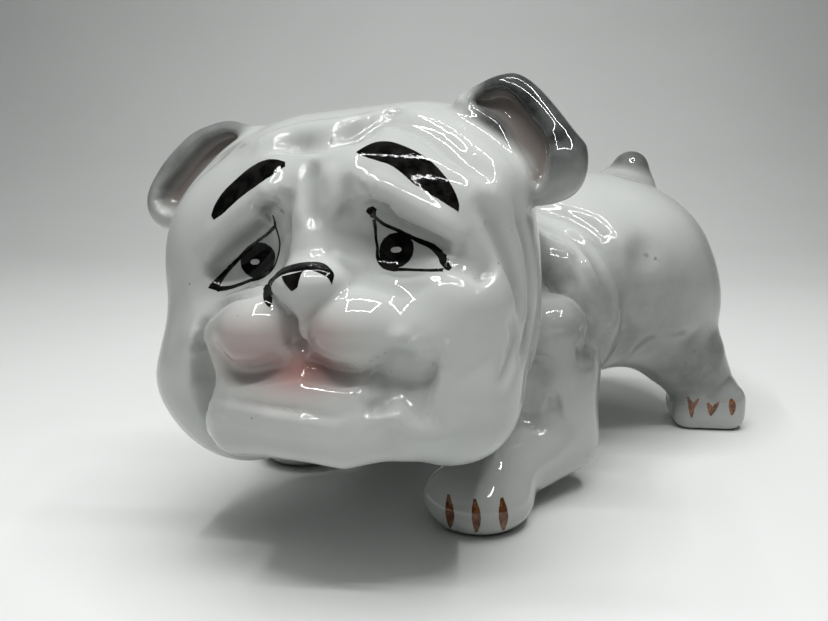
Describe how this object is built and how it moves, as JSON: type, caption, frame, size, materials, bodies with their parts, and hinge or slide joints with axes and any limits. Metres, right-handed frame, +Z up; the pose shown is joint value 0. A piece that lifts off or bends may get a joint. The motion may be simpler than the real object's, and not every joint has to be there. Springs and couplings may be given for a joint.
{
  "type": "dog figurine",
  "caption": "Glazed ceramic bulldog figurine in a play-bow crouch, head turned to one side, with brushed enamel brows, eyes, nose and claws.",
  "frame": {"origin": "centre of the figurine's footprint, on the surface that its paws stand on", "axes": "+X is the dog's left, -Y is the way its body faces, +Z is up"},
  "size_m": [0.111, 0.1957, 0.106],
  "materials": {
    "porcelain": "gloss glaze over white porcelain",
    "black_enamel": "gloss black overglaze enamel",
    "white_enamel": "gloss white overglaze enamel dot",
    "brown_enamel": "gloss brown overglaze enamel"
  },
  "bodies": {
    "root": {"head_casting": "porcelain", "torso_casting": "porcelain", "ear_left": "porcelain", "ear_right": "porcelain", "foreleg_left": "porcelain", "foreleg_right": "porcelain", "hind_leg_left": "porcelain", "hind_leg_right": "porcelain", "tail": "porcelain", "brow_left": "black_enamel", "brow_right": "black_enamel", "eye_line_left": "black_enamel", "eye_line_right": "black_enamel", "iris_left": "black_enamel", "iris_right": "black_enamel", "catchlight_left": "white_enamel", "catchlight_right": "white_enamel", "nose_enamel": "black_enamel", "claws_foreleg_left": "brown_enamel", "claws_foreleg_right": "brown_enamel", "claws_hind_leg_left": "brown_enamel", "claws_hind_leg_right": "brown_enamel"}
  },
  "joints": []
}
